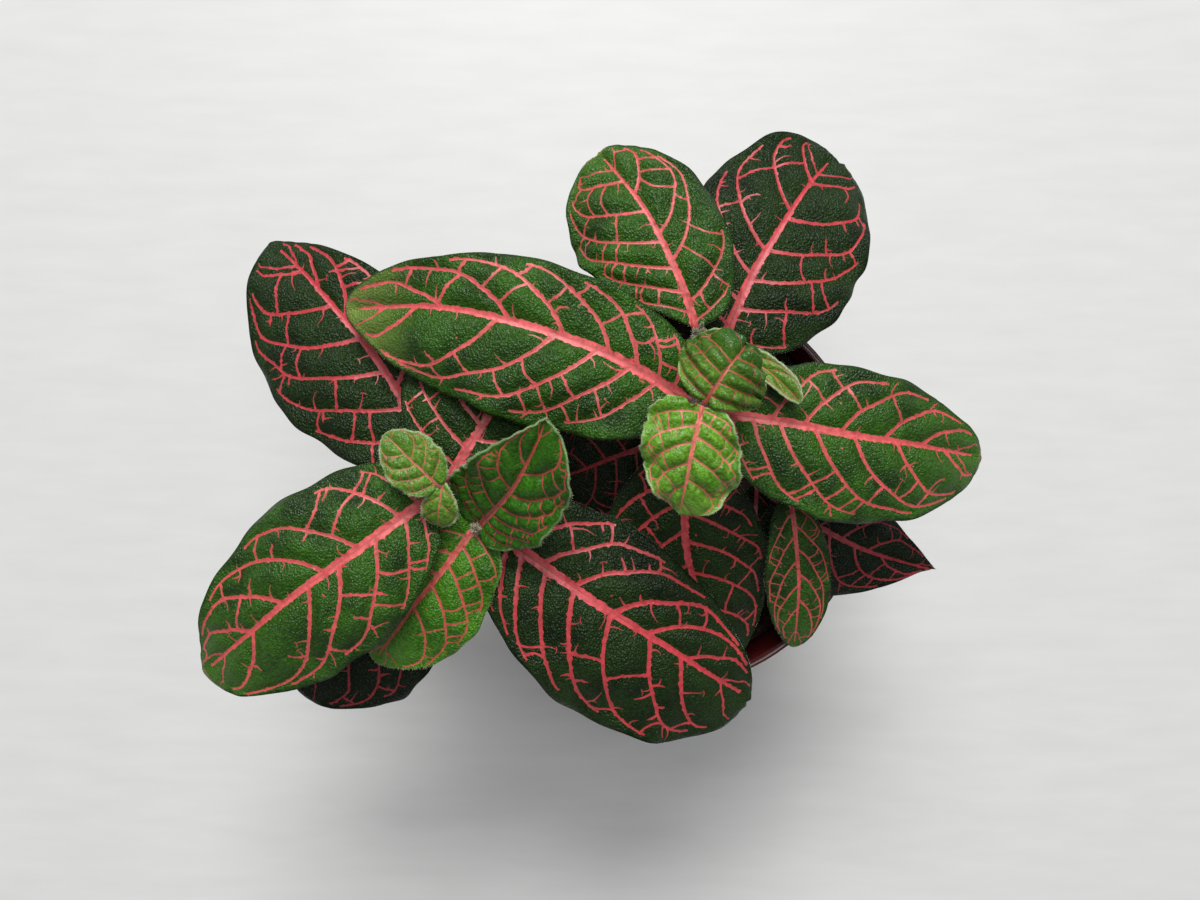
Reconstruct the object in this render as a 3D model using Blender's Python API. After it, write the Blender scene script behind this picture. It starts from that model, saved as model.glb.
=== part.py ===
"""Potted nerve plant: a round plastic pot, soil, two stems, three side shoots and their leaves.

Row frame: the origin is the centre of the pot's flat underside, +Z is up.
Lengths below are in millimetres and angles in degrees; the meshes are in metres.
"""
import bmesh
import bpy
import numpy as np

for old in list(bpy.data.objects):
    bpy.data.objects.remove(old)

MM = 0.001

# Pot
POT_HEIGHT = 78.0
RIM_RADIUS = 45.0
LIP_WIDTH = 1.9
BASE_RADIUS = 30.0
WALL = 1.1
FLOOR = 1.4
COLLAR_FOOT = 64.0
COLLAR_STEP = 1.4
HOLE_RADIUS = 2.5
HOLE_CIRCLE = 20.0
HOLE_COUNT = 6
POT_SEGMENTS = 48

# Soil
GAP = 0.3
SOIL_TOP = 68.0

# Stem nodes, where the pairs of leaves grow
NODES = {
    "right_1": (6.9, 13.2, 90.0),
    "right_2": (5.7, 15.6, 102.0),
    "right_3": (4.7, 16.0, 112.0),
    "right_4": (4.1, 15.5, 127.0),
    "back_1": (4.6, 29.4, 113.0),
    "front_1": (19.5, 5.8, 86.0),
    "front_2": (24.3, 3.4, 94.0),
    "left_1": (-37.7, -5.9, 88.0),
    "left_2": (-42.7, -3.9, 99.0),
    "left_3": (-45.6, -0.4, 107.0),
    "left_4": (-44.4, 0.3, 114.0),
    "left_side_1": (-38.9, -7.4, 104.5),
}

# Each leaf: the node it grows from, how far its foot stands from the node's middle, and then
#   way     compass direction of the stalk (0 is +X) and how much it turns by the tip
#   slope   slope at the foot and at the tip
#   size    lengths of stalk and blade, and the half widths left and right of the midrib
#   left    where the left half is widest (0 at the base, 1 at the tip), and how blunt its base
#           and its tip are: smaller is rounder
#   right   the same for the right half
#   bend    upward fold of the left and right halves, curl back down, ripple of the margin
LEAVES = {
    "right_tip_low": dict(
        node="right_4", reach=1.7, way=(-104, 8), slope=(12, -50),
        size=(1.0, 20.0, 10.5, 10.0), left=(0.45, 0.4, 0.7), right=(0.4, 0.4, 0.8),
        bend=(12, 12, 40, 1.4)),
    "right_tip_dome": dict(
        node="right_4", reach=1.9, way=(56, -12), slope=(35, -46),
        size=(1.3, 13.0, 11, 11), left=(0.5, 0.35, 0.45), right=(0.5, 0.35, 0.45),
        bend=(10, 10, 90, 0.7)),
    "right_big_left": dict(
        node="right_3", reach=2.1, way=(146, 38), slope=(18, -32),
        size=(1.0, 73.5, 18.8, 12.5), left=(0.43, 0.42, 0.6), right=(0.4, 0.38, 0.55),
        bend=(8, 16, 30, 0.5)),
    "right_big_right": dict(
        node="right_3", reach=1.9, way=(-10, 2), slope=(8, -36),
        size=(3.0, 58.0, 13, 17.5), left=(0.42, 0.5, 0.6), right=(0.45, 0.5, 0.5),
        bend=(10, 10, 30, 0.5)),
    "back_right": dict(
        node="right_2", reach=2.15, way=(74, -26), slope=(11, -29),
        size=(12.0, 49.2, 18.5, 20), left=(0.6, 0.5, 0.36), right=(0.48, 0.35, 0.36),
        bend=(6, 6, 25, 1.0)),
    "front_mid": dict(
        node="right_2", reach=2.35, way=(-104, 50), slope=(-15, -29),
        size=(5.0, 54.5, 17, 18), left=(0.5, 0.5, 0.6), right=(0.5, 0.5, 0.6),
        bend=(8, 8, 30, 0.5)),
    "right_low_dark": dict(
        node="right_1", reach=2.25, way=(-50, 40), slope=(1, -19),
        size=(20.0, 41.5, 11, 14), left=(0.4, 0.6, 1.05), right=(0.32, 0.5, 1.55),
        bend=(10, 10, 40, 0.5)),
    "centre_dark": dict(
        node="right_1", reach=2.8, way=(-159, 0), slope=(-3, -33),
        size=(5.0, 27.5, 14, 14), left=(0.5, 0.6, 0.7), right=(0.5, 0.6, 0.7),
        bend=(5, 5, 20, 0.3)),
    "side_bud_left": dict(
        node="back_1", reach=1.6, way=(105, 26), slope=(9, -27),
        size=(0.5, 41.0, 16.5, 12.7), left=(0.6, 0.6, 0.38), right=(0.46, 0.38, 0.6),
        bend=(4, 10, 36, 0.8)),
    "side_bud_right": dict(
        node="back_1", reach=1.7, way=(-18, -34), slope=(19, 3),
        size=(1.5, 20.5, 4.0, 3.6), left=(0.6, 0.6, 0.45), right=(0.6, 0.6, 0.45),
        bend=(30, 48, 20, 0.3)),
    "front_narrow": dict(
        node="front_2", reach=1.7, way=(-79, -12), slope=(7, -43),
        size=(2.0, 38.0, 7, 7), left=(0.5, 0.6, 0.6), right=(0.5, 0.6, 0.6),
        bend=(5, 5, 20, 0.3)),
    "front_sliver": dict(
        node="front_1", reach=1.8, way=(-91, 0), slope=(5, -25),
        size=(3.0, 26.0, 5, 5), left=(0.5, 0.6, 0.7), right=(0.5, 0.6, 0.7),
        bend=(5, 5, 20, 0.2)),
    "left_tip_big": dict(
        node="left_4", reach=1.4, way=(133, 4), slope=(26, -14),
        size=(0.5, 13.8, 5.9, 5.5), left=(0.45, 0.4, 0.6), right=(0.45, 0.4, 0.6),
        bend=(10, 10, 30, 0.4)),
    "left_tip_small": dict(
        node="left_4", reach=1.7, way=(-100, 0), slope=(-5, -60),
        size=(0.4, 7.2, 3.5, 3.4), left=(0.62, 0.5, 0.5), right=(0.62, 0.5, 0.5),
        bend=(5, 5, 30, 0.4)),
    "left_big_low": dict(
        node="left_3", reach=2.0, way=(-146, 6), slope=(14, -36),
        size=(1.5, 62.5, 18.0, 16.8), left=(0.48, 0.45, 0.55), right=(0.4, 0.36, 0.7),
        bend=(8, 8, 35, 0.6)),
    "left_under_big": dict(
        node="left_3", reach=2.0, way=(58, 2), slope=(6, -24),
        size=(3.0, 48.0, 19.5, 15), left=(0.4, 0.45, 0.7), right=(0.4, 0.45, 0.7),
        bend=(8, 8, 30, 0.3)),
    "left_back_dark": dict(
        node="left_2", reach=2.75, way=(114, 26), slope=(7, -23),
        size=(6.0, 62.5, 23.0, 13.5), left=(0.56, 0.55, 0.5), right=(0.46, 0.55, 0.8),
        bend=(8, 8, 30, 0.8)),
    "front_big_dark": dict(
        node="left_2", reach=2.35, way=(-34, 0), slope=(17, -33),
        size=(2.0, 71.5, 16.5, 22.5), left=(0.42, 0.5, 0.65), right=(0.56, 0.5, 0.45),
        bend=(6, 6, 30, 0.8)),
    "left_low_dark": dict(
        node="left_1", reach=2.3, way=(-138, 0), slope=(8, -17),
        size=(10.0, 45.0, 17, 17), left=(0.55, 0.6, 0.6), right=(0.55, 0.6, 0.6),
        bend=(8, 8, 25, 0.5)),
    "left_fold": dict(
        node="left_side_1", reach=2.1, way=(36, 36), slope=(53, 23),
        size=(0.5, 31.5, 8.0, 12), left=(0.36, 0.4, 0.8), right=(0.42, 0.4, 0.75),
        bend=(14, 14, 20, 0.9)),
    "left_bright_low": dict(
        node="left_side_1", reach=1.5, way=(-128, 0), slope=(4, -36),
        size=(1.5, 36.3, 13, 10), left=(0.5, 0.5, 0.7), right=(0.5, 0.5, 0.7),
        bend=(8, 8, 25, 0.5)),
}
STALK_HALF_WIDTH = 0.9
STALK_HALF_HEIGHT = 0.8
BLADE_HALF_THICKNESS = 0.42
MARGIN_HALF_THICKNESS = 0.25
RIPPLES = 2.5

# Leaf greens, from the old leaves low on the stems to the young leaves at the tips
OLD_GREEN = "1f3a1e"
DARK_GREEN = "132413"
MID_GREEN = "2f5a1f"
YOUNG_GREEN = "5f8a3a"
GREENS = {
    "right_tip_low": YOUNG_GREEN, "right_tip_dome": YOUNG_GREEN, "side_bud_right": YOUNG_GREEN,
    "left_tip_big": YOUNG_GREEN, "left_tip_small": YOUNG_GREEN, "left_fold": MID_GREEN,
    "right_big_left": MID_GREEN, "right_big_right": MID_GREEN, "side_bud_left": MID_GREEN,
    "left_big_low": MID_GREEN, "left_bright_low": MID_GREEN, "front_narrow": MID_GREEN,
    "left_under_big": MID_GREEN, "front_sliver": DARK_GREEN, "right_low_dark": DARK_GREEN,
    "centre_dark": DARK_GREEN, "left_low_dark": DARK_GREEN,
}


def material(name, hex_colour, roughness):
    """A Principled material in the given sRGB colour."""
    srgb = np.array([int(hex_colour[i:i + 2], 16) for i in (0, 2, 4)]) / 255.0
    linear = np.where(srgb <= 0.04045, srgb / 12.92, ((srgb + 0.055) / 1.055) ** 2.4)
    made = bpy.data.materials.new(name)
    made.use_nodes = True
    shader = made.node_tree.nodes["Principled BSDF"]
    shader.inputs["Base Color"].default_value = (*linear, 1.0)
    shader.inputs["Roughness"].default_value = roughness
    shader.inputs["Metallic"].default_value = 0.0
    made.diffuse_color = (*linear, 1.0)
    return made


def finish(name, bm, hex_colour, roughness, sharp=40.0):
    """Turn a bmesh in millimetres into a named, smoothly shaded object in metres."""
    bmesh.ops.scale(bm, vec=(MM, MM, MM), verts=bm.verts)
    mesh = bpy.data.meshes.new(name)
    bm.to_mesh(mesh)
    bm.free()
    mesh.shade_smooth()
    mesh.set_sharp_from_angle(angle=np.radians(sharp))
    mesh.materials.append(material(name, hex_colour, roughness))
    thing = bpy.data.objects.new(name, mesh)
    bpy.context.scene.collection.objects.link(thing)
    return thing


def turned(profile):
    """A solid of revolution about Z from (radius, height) points that start and end on the axis."""
    bm = bmesh.new()
    verts = [bm.verts.new((r, 0.0, z)) for r, z in profile]
    edges = [bm.edges.new(pair) for pair in zip(verts, verts[1:])]
    bmesh.ops.spin(bm, geom=verts + edges, cent=(0, 0, 0), axis=(0, 0, 1), angle=2 * np.pi,
                   steps=POT_SEGMENTS, use_merge=True)
    bmesh.ops.remove_doubles(bm, verts=bm.verts, dist=0.001)
    bmesh.ops.recalc_face_normals(bm, faces=bm.faces)
    return bm


def loft(rings):
    """A closed skin through rings of equally many points, with both ends capped.

    The points of each ring run anticlockwise as seen from the last ring.
    """
    bm = bmesh.new()
    loops = [[bm.verts.new(point) for point in ring] for ring in rings]
    count = len(loops[0])
    for low, high in zip(loops, loops[1:]):
        for i in range(count):
            j = (i + 1) % count
            bm.faces.new((low[i], low[j], high[j], high[i]))
    for loop in (loops[0][::-1], loops[-1]):
        cap = bm.faces.new(loop)
        bmesh.ops.poke(bm, faces=[cap])
    bmesh.ops.triangulate(bm, faces=bm.faces)
    return bm


# ---------------------------------------------------------------- pot
def wall_radius(z):
    """Outer radius of the tapered wall below the collar."""
    return BASE_RADIUS + (RIM_RADIUS - LIP_WIDTH - 1.5 - BASE_RADIUS) * z / COLLAR_FOOT


collar_low = wall_radius(COLLAR_FOOT) + COLLAR_STEP
collar_high = RIM_RADIUS - 1.1
inner_high = RIM_RADIUS - LIP_WIDTH
inner_low = collar_low - WALL
pot_profile = [
    (0, 0),
    (BASE_RADIUS - 1.4, 0),
    (BASE_RADIUS - 0.4, 0.4),
    (wall_radius(1.4), 1.4),
    (wall_radius(COLLAR_FOOT - 0.8), COLLAR_FOOT - 0.8),
    (collar_low, COLLAR_FOOT),
    (collar_high, POT_HEIGHT - 2.4),
    (RIM_RADIUS - 0.3, POT_HEIGHT - 2.2),
    (RIM_RADIUS, POT_HEIGHT - 1.7),
    (RIM_RADIUS, POT_HEIGHT - 0.6),
    (RIM_RADIUS - 0.5, POT_HEIGHT),
    (inner_high + 0.5, POT_HEIGHT),
    (inner_high, POT_HEIGHT - 0.6),
    (inner_low, COLLAR_FOOT + 1.0),
    (wall_radius(COLLAR_FOOT) - WALL, COLLAR_FOOT + 0.2),
    (wall_radius(FLOOR) - WALL, FLOOR),
    (0, FLOOR),
]
pot = finish("pot", turned(pot_profile), "3a1012", 0.28)

drill = bmesh.new()
for k in range(HOLE_COUNT):
    angle = 2 * np.pi * (k + 0.5) / HOLE_COUNT
    made = bmesh.ops.create_cone(drill, cap_ends=True, segments=16, radius1=HOLE_RADIUS,
                                 radius2=HOLE_RADIUS, depth=FLOOR + 4)
    bmesh.ops.translate(drill, verts=made["verts"],
                        vec=(HOLE_CIRCLE * np.cos(angle), HOLE_CIRCLE * np.sin(angle), FLOOR / 2))
drills = finish("drain_hole_cutters", drill, "808080", 0.5)
drills.hide_render = True
drills.display_type = "WIRE"
holes = pot.modifiers.new("drain_holes", "BOOLEAN")
holes.operation = "DIFFERENCE"
holes.solver = "EXACT"
holes.object = drills

# ---------------------------------------------------------------- soil
soil_profile = [
    (0, FLOOR + GAP),
    (wall_radius(FLOOR) - WALL - GAP - 0.2, FLOOR + GAP),
    (wall_radius(COLLAR_FOOT) - WALL - GAP - 0.1, COLLAR_FOOT + 0.4),
    (inner_low - GAP, COLLAR_FOOT + 2.2),
    (inner_low - GAP, SOIL_TOP - 0.9),
    (inner_low - 2.5, SOIL_TOP - 0.4),
    (inner_low - 12.0, SOIL_TOP - 0.1),
    (0, SOIL_TOP),
]
finish("soil", turned(soil_profile), "2a1d14", 0.95)


# ---------------------------------------------------------------- stems and shoots
def tube(points, radii, sides=10):
    """Rings of a tube that follows a run of points with a radius at each."""
    points = np.array(points, float)
    ends = np.vstack([points[0], points, points[-1]])
    rings = []
    for k, (point, radius) in enumerate(zip(points, radii)):
        along = ends[k + 2] - ends[k]
        along /= np.linalg.norm(along)
        across = np.cross(along, (0, 1, 0))
        across /= np.linalg.norm(across)
        up = np.cross(along, across)
        turns = 2 * np.pi * np.arange(sides) / sides
        rings.append([point + radius * (np.cos(a) * across + np.sin(a) * up) for a in turns])
    return rings


def offset(node, x, y, z):
    return np.array(NODES[node]) + (x, y, z)


STEM_FOOT = SOIL_TOP + GAP
STEMS = {
    "stem_right": (
        [(2, 6, STEM_FOOT), (2, 6, 72), (3, 8, 80), NODES["right_1"], NODES["right_2"],
         NODES["right_3"], NODES["right_4"]],
        [2.0, 2.0, 1.9, 1.8, 1.6, 1.5, 1.2]),
    "stem_left": (
        [(-16, -2, STEM_FOOT), (-16, -2, 71), (-25, -2, 80), NODES["left_1"], NODES["left_2"],
         NODES["left_3"], NODES["left_4"]],
        [2.0, 2.0, 1.9, 1.8, 1.6, 1.5, 1.0]),
    "shoot_back": (
        [offset("right_2", -1.6, 2.5, 3), offset("right_2", -2, 8, 6), NODES["back_1"],
         offset("back_1", 0, 0.5, 3)],
        [1.2, 1.2, 1.1, 0.8]),
    "shoot_front": (
        [offset("right_1", 2.0, -0.8, 3), offset("right_1", 8, -4.5, 4.5), NODES["front_1"],
         NODES["front_2"], offset("front_2", 1.5, -0.5, 2)],
        [1.2, 1.2, 1.2, 1.1, 0.8]),
    "shoot_left": (
        [offset("left_2", 2.1, -1.9, 2.7), NODES["left_side_1"],
         offset("left_side_1", 0.3, -0.2, 3)],
        [1.2, 1.1, 0.8]),
}
for name, (points, radii) in STEMS.items():
    finish(name, loft(tube(points, radii)), "5d5a34", 0.6)

# ---------------------------------------------------------------- buds, downy lemon shapes
BUD_LENGTH = 3.4
BUD_RADIUS = 1.3
for name, foot in (("bud_back", offset("back_1", 0, 0.5, 3.1 + GAP)),
                   ("bud_left", offset("left_side_1", 0.3, -0.2, 3.1 + GAP))):
    levels = np.linspace(0, 1, 6)
    points = [foot + (0, 0.3 * q, BUD_LENGTH * q) for q in levels]
    radii = [BUD_RADIUS * (0.25 + 0.75 * np.sin(np.pi * (0.12 + 0.8 * q))) for q in levels]
    finish(name, loft(tube(points, radii)), "b9b79a", 0.8)


# ---------------------------------------------------------------- leaves
def direction(leaf, q):
    """Forward, leftward and upward directions at the fraction q of the leaf's whole length."""
    (climb, fall), (heading, turn) = leaf["slope"], leaf["way"]
    slope = np.radians(climb + (fall - climb) * q)
    compass = np.radians(heading + turn * q)
    forward = np.stack([np.cos(slope) * np.cos(compass), np.cos(slope) * np.sin(compass),
                        np.sin(slope)], -1)
    left = np.stack([-np.sin(compass), np.cos(compass), 0 * compass], -1)
    return forward, left, np.cross(forward, left)


def midrib(leaf, distance):
    """Point on the leaf's centre line at a distance from its foot, with its directions."""
    whole = leaf["size"][0] + leaf["size"][1]
    steps = 80
    q = np.linspace(0, 1, steps + 1)
    forward, _, _ = direction(leaf, (q[1:] + q[:-1]) / 2)
    start = np.array(NODES[leaf["node"]], float)
    out = np.radians(leaf["way"][0])
    start[:2] += leaf["reach"] * np.array([np.cos(out), np.sin(out)])
    line = start + np.vstack([np.zeros(3), np.cumsum(forward * whole / steps, 0)])
    point = np.stack([np.interp(distance, q * whole, line[:, i]) for i in range(3)], -1)
    return (point, *direction(leaf, np.asarray(distance) / whole))


def half_width(leaf, s, t):
    """Width from the midrib to the margin at the fraction s along the blade, on t's side."""
    halves = []
    for half, (widest, base, tip) in ((leaf["size"][2], leaf["left"]),
                                      (leaf["size"][3], leaf["right"])):
        bell = np.clip(np.sin(np.pi * np.clip(s, 0, 1) ** (np.log(0.5) / np.log(widest))), 0, 1)
        halves.append(half * bell ** (base * (1 - s) + tip * s))
    return np.where(t >= 0, *halves)


def blade(leaf, s, t):
    """Mid surface of the blade at s along and t across, where t is 1 at the left margin."""
    s, t = np.broadcast_arrays(np.asarray(s, float), np.asarray(t, float))
    stalk, length, left_half, right_half = leaf["size"]
    fold_left, fold_right, arch, wave = leaf["bend"]
    middle, forward, left, up = midrib(leaf, stalk + s * length)
    across = np.abs(t) * half_width(leaf, s, t)
    rise = np.radians(np.where(t >= 0, fold_left, fold_right))
    curl = np.radians(arch) / ((left_half + right_half) / 2)
    side = (np.sin(rise) - np.sin(rise - curl * across)) / curl
    lift = (np.cos(rise - curl * across) - np.cos(rise)) / curl
    ripple = np.sin(2 * np.pi * (RIPPLES * s + np.where(t >= 0, 0.0, 0.37)))
    lift = lift + wave * np.abs(t) ** 2.5 * ripple
    return middle + (np.sign(t) * side)[..., None] * left + lift[..., None] * up


ACROSS = np.array([1.0, 0.62, 0.0, -0.62, -1.0])
EDGE = 0.004


def leaf_rings(leaf):
    """Rings of ten points each, along the stalk and then along the blade."""
    rings = []
    stalk, length = leaf["size"][:2]
    stalk_rings = 1 + max(1, round(stalk / 6))
    for distance in np.arange(stalk_rings) * stalk / stalk_rings:
        middle, forward, left, up = midrib(leaf, distance)
        height = STALK_HALF_HEIGHT * (0.35 + 0.65 * np.sqrt(1 - ACROSS ** 2))
        top = middle + np.outer(ACROSS * STALK_HALF_WIDTH, left) + np.outer(height, up)
        low = middle + np.outer(ACROSS * STALK_HALF_WIDTH, left) - np.outer(height, up)
        rings.append(np.vstack([top, low[::-1]]))
    stations = 7 + round(length / 9)
    for u in np.linspace(0.06, 0.98, stations):
        s = 0.5 - 0.5 * np.cos(np.pi * u)
        surface = blade(leaf, s, ACROSS)
        along = blade(leaf, s + EDGE * (s < 0.5), ACROSS)
        along = along - blade(leaf, s - EDGE * (s >= 0.5), ACROSS)
        sideways = blade(leaf, s, np.minimum(ACROSS + EDGE, 1))
        sideways = sideways - blade(leaf, s, np.maximum(ACROSS - EDGE, -1))
        normal = np.cross(along, sideways)
        normal /= np.linalg.norm(normal, axis=1)[:, None]
        half = np.where(np.abs(ACROSS) > 0.9, MARGIN_HALF_THICKNESS, BLADE_HALF_THICKNESS)[:, None]
        rings.append(np.vstack([surface + normal * half, (surface - normal * half)[::-1]]))
    return rings


for name, leaf in LEAVES.items():
    finish("leaf_" + name, loft(leaf_rings(leaf)), GREENS.get(name, OLD_GREEN), 0.45, sharp=75.0)
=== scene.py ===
"""Potted nerve plant: the looks of its pot, soil, stems, buds and netted leaves, at rest."""

import bmesh
import bpy
import numpy as np
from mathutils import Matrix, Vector, kdtree, noise
from mathutils.geometry import delaunay_2d_cdt


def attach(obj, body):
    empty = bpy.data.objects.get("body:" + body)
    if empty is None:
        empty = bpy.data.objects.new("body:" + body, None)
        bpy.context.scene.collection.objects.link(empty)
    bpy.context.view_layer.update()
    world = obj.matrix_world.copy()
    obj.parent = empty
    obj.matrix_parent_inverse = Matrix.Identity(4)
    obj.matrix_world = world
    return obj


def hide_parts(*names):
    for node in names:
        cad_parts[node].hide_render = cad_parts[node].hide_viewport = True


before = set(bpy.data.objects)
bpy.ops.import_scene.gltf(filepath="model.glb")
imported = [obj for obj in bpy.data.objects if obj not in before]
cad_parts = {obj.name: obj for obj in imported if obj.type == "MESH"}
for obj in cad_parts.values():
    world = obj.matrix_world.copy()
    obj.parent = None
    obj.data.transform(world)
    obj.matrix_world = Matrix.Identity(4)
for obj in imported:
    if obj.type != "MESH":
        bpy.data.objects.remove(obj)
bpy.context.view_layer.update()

# ================================================================ pot
# A thin nursery pot, injection moulded in one piece from dark red-brown polypropylene.
# It has a collar with a rolled lip, and its flat floor is pierced by a ring of drain holes.
MM = 0.001
POT_HEIGHT = 78.0
RIM_RADIUS = 45.0
BASE_RADIUS = 30.0
LIP_WIDTH = 1.9
WALL = 1.1
FLOOR = 1.4
COLLAR_FOOT = 64.0
COLLAR_STEP = 1.4
LIP_SETBACK = 1.5
DRAIN_HOLES = 6
DRAIN_CIRCLE = 20.0
DRAIN_RADIUS = 2.5
MOULDED_EDGE = 0.2


def deselect():
    bpy.ops.object.select_all(action="DESELECT")


def outer_radius(z):
    return BASE_RADIUS + (RIM_RADIUS - LIP_WIDTH - LIP_SETBACK - BASE_RADIUS) * z / COLLAR_FOOT


def raise_walls(name, profile, sides=96):
    """A round body pulled up from a disc, one extrusion for each (radius, height) in mm."""
    deselect()
    radius, height = profile[0]
    bpy.ops.mesh.primitive_circle_add(vertices=sides, radius=radius * MM, fill_type="NGON",
                                      location=(0, 0, height * MM))
    body = bpy.context.object
    body.name = name
    bpy.ops.object.mode_set(mode="EDIT")
    bpy.ops.mesh.select_all(action="SELECT")
    for next_radius, next_height in profile[1:]:
        bpy.ops.mesh.extrude_region_move(
            TRANSFORM_OT_translate={"value": (0, 0, (next_height - height) * MM)})
        share = next_radius / radius
        bpy.ops.transform.resize(value=(share, share, 1), center_override=(0, 0, 0))
        radius, height = next_radius, next_height
    bpy.ops.mesh.select_all(action="SELECT")
    bpy.ops.mesh.normals_make_consistent(inside=False)
    bpy.ops.object.mode_set(mode="OBJECT")
    bpy.ops.object.transform_apply(location=True, rotation=True, scale=True)
    return body


def apply_modifiers(thing):
    deselect()
    thing.select_set(True)
    bpy.context.view_layer.objects.active = thing
    for modifier in list(thing.modifiers):
        bpy.ops.object.modifier_apply(modifier=modifier.name)


collar_low = outer_radius(COLLAR_FOOT) + COLLAR_STEP
inner_high = RIM_RADIUS - LIP_WIDTH
inner_low = collar_low - WALL
pot = raise_walls("nursery_pot", [
    (BASE_RADIUS - 1.4, 0), (BASE_RADIUS - 0.4, 0.4), (outer_radius(1.4), 1.4),
    (outer_radius(COLLAR_FOOT - 0.8), COLLAR_FOOT - 0.8), (collar_low, COLLAR_FOOT),
    (RIM_RADIUS - 1.1, POT_HEIGHT - 2.4), (RIM_RADIUS - 0.3, POT_HEIGHT - 2.2),
    (RIM_RADIUS, POT_HEIGHT - 1.7), (RIM_RADIUS, POT_HEIGHT - 0.6),
    (RIM_RADIUS - 0.15, POT_HEIGHT - 0.2), (RIM_RADIUS - 0.5, POT_HEIGHT),
    (RIM_RADIUS - 0.8, POT_HEIGHT - 0.12), (inner_high + 0.6, POT_HEIGHT - 0.12),
    (inner_high + 0.35, POT_HEIGHT), (inner_high, POT_HEIGHT - 0.5),
    (inner_low, COLLAR_FOOT + 1.0), (outer_radius(COLLAR_FOOT) - WALL, COLLAR_FOOT + 0.2),
    (outer_radius(FLOOR) - WALL, FLOOR + 0.01)])
deselect()
for k in range(DRAIN_HOLES):
    angle = 2 * np.pi * (k + 0.5) / DRAIN_HOLES
    bpy.ops.mesh.primitive_cylinder_add(
        vertices=24, radius=DRAIN_RADIUS * MM, depth=6 * MM,
        location=(DRAIN_CIRCLE * MM * np.cos(angle), DRAIN_CIRCLE * MM * np.sin(angle),
                  FLOOR / 2 * MM))
    drill = bpy.context.object
    drilling = pot.modifiers.new("drain hole", "BOOLEAN")
    drilling.operation = "DIFFERENCE"
    drilling.object = drill
    apply_modifiers(pot)
    bpy.data.objects.remove(drill)
rounding = pot.modifiers.new("moulded edge", "BEVEL")
rounding.width = MOULDED_EDGE * MM
rounding.segments = 2
rounding.limit_method = "ANGLE"
rounding.angle_limit = np.radians(40)
apply_modifiers(pot)
deselect()
pot.select_set(True)
bpy.ops.object.shade_smooth_by_angle(angle=np.radians(38))


def colour(hex_code, alpha=1.0):
    """An sRGB hex colour as the linear values that a shader takes."""
    srgb = np.array([int(hex_code[i:i + 2], 16) for i in (0, 2, 4)]) / 255
    linear = np.where(srgb <= 0.04045, srgb / 12.92, ((srgb + 0.055) / 1.055) ** 2.4)
    return (*linear, alpha)


def add_node(tree, kind, settings=None, links=None, stops=()):
    """Adds a node; settings are its properties or input values, links feed its inputs.

    The stops are the (position, colour) pairs of a colour ramp.
    """
    made = tree.nodes.new("ShaderNode" + kind)
    for key, value in (settings or {}).items():
        if isinstance(key, str) and hasattr(made, key):
            setattr(made, key, value)
        else:
            made.inputs[key].default_value = value
    for key, source in (links or {}).items():
        tree.links.new(source, made.inputs[key])
    if stops:
        band = made.color_ramp.elements
        while len(band) < len(stops):
            band.new(0.5)
        for element, (place, shade) in zip(band, stops):
            element.position = place
            element.color = shade
    return made


def new_material(name, **sockets):
    """A Principled material with its constant values set on the shader's own sockets."""
    made = bpy.data.materials.new(name)
    made.use_nodes = True
    tree = made.node_tree
    shader = tree.nodes["Principled BSDF"]
    for key, value in sockets.items():
        shader.inputs[key.replace("_", " ")].default_value = value
    return made, tree, shader


def feed(tree, shader, socket, source):
    tree.links.new(source, shader.inputs[socket])


# Polypropylene, moulded: a soft gloss with fine drag marks, and a little dried dust.
polypropylene, tree, shader = new_material("moulded_polypropylene", IOR=1.49)
place = add_node(tree, "TexCoord").outputs["Object"]
cloud = add_node(tree, "TexNoise", {"Scale": 90.0, "Detail": 5.0}, {"Vector": place})
stretch = add_node(tree, "Mapping", {"Scale": (1, 1, 12)}, {"Vector": place})
drag = add_node(tree, "TexNoise", {"Scale": 260.0, "Detail": 3.0},
                {"Vector": stretch.outputs[0]})
dusty = add_node(tree, "ValToRGB", links={0: cloud.outputs[0]}, stops=[
    (0.3, colour("3c0e10")), (0.66, colour("451113")), (0.85, colour("4e1d1b"))])
gloss = add_node(tree, "MapRange", {"To Min": 0.2, "To Max": 0.34}, {0: cloud.outputs[0]})
marks = add_node(tree, "Bump", {"Strength": 0.12, "Distance": 0.0002},
                 {"Height": drag.outputs[0]})
feed(tree, shader, "Base Color", dusty.outputs[0])
feed(tree, shader, "Roughness", gloss.outputs[0])
feed(tree, shader, "Normal", marks.outputs[0])
pot.data.materials.clear()
pot.data.materials.append(polypropylene)
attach(pot, "root")
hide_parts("pot")

# ================================================================ soil
# Damp peat-based potting mix, pressed in by hand to about a finger's width below the lip.
# Bark crumbs and a few white grains of perlite lie loose on its uneven top.
GAP = 0.3
SOIL_TOP = 68.0
TOP_RINGS = 34
RING_STEP = 1.15
CRUMBS = 620
CRUMBS_REACH = 39.5
PERLITE_SHARE = 0.07
soil = raise_walls("potting_mix", [
    (outer_radius(FLOOR) - WALL - GAP - 0.2, FLOOR + GAP),
    (outer_radius(COLLAR_FOOT) - WALL - GAP - 0.1, COLLAR_FOOT + 0.4),
    (inner_low - GAP, COLLAR_FOOT + 2.2),
    (inner_low - GAP, SOIL_TOP - 0.9),
    (inner_low - 1.5, SOIL_TOP - 0.5)])
deselect()
soil.select_set(True)
bpy.context.view_layer.objects.active = soil
bpy.ops.object.mode_set(mode="EDIT")
bpy.ops.mesh.select_mode(type="FACE")
bpy.ops.mesh.select_all(action="DESELECT")
shell = bmesh.from_edit_mesh(soil.data)
shell.faces.ensure_lookup_table()
for face in shell.faces:
    face.select_set(len(face.verts) > 4 and face.calc_center_median().z > 0.06)
bmesh.update_edit_mesh(soil.data)
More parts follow.
